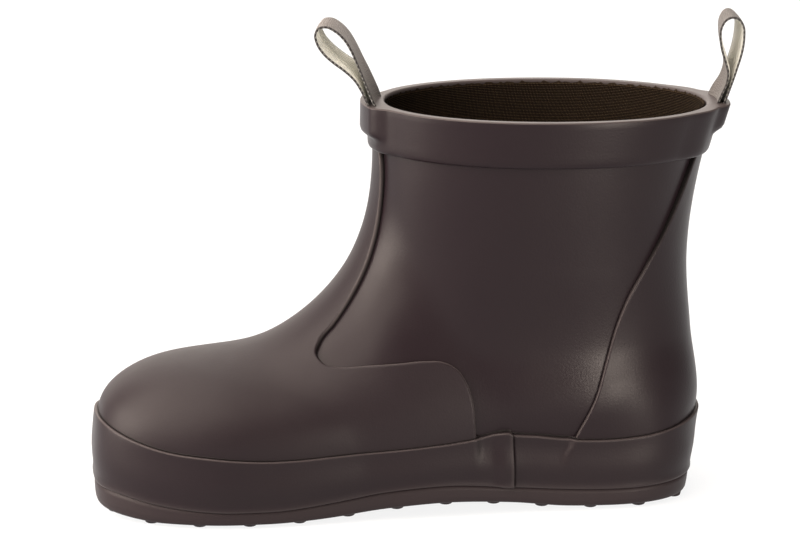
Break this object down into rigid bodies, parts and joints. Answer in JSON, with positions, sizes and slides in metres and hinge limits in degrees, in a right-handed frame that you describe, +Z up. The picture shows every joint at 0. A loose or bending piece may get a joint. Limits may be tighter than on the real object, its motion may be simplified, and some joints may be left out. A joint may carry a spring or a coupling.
{
  "type": "rubber boot",
  "caption": "Child's short pull-on rubber boot for the right foot: hollow upper with vamp and heel overlays, lapped sole strip, studded sole, collar band and tape pull loops.",
  "frame": {"origin": "on the floor, under the middle of the heel", "axes": "+X from the heel to the toe, +Y to the inner side of the foot, +Z up along the leg"},
  "size_m": [0.179, 0.0678, 0.1314],
  "materials": {
    "upper_rubber": "satin",
    "vamp_rubber": "satin",
    "counter_rubber": "satin",
    "foxing_rubber": "satin",
    "collar_rubber": "satin",
    "sole_rubber": "matte",
    "footbed_felt": "matte",
    "front_tape": "matte",
    "back_tape": "matte"
  },
  "bodies": {
    "root": {"upper": "upper_rubber", "vamp_overlay": "vamp_rubber", "heel_counter": "counter_rubber", "foxing_band": "foxing_rubber", "collar_band": "collar_rubber", "outsole": "sole_rubber", "insole": "footbed_felt", "pull_loop_front": "front_tape", "pull_loop_back": "back_tape"}
  },
  "joints": []
}
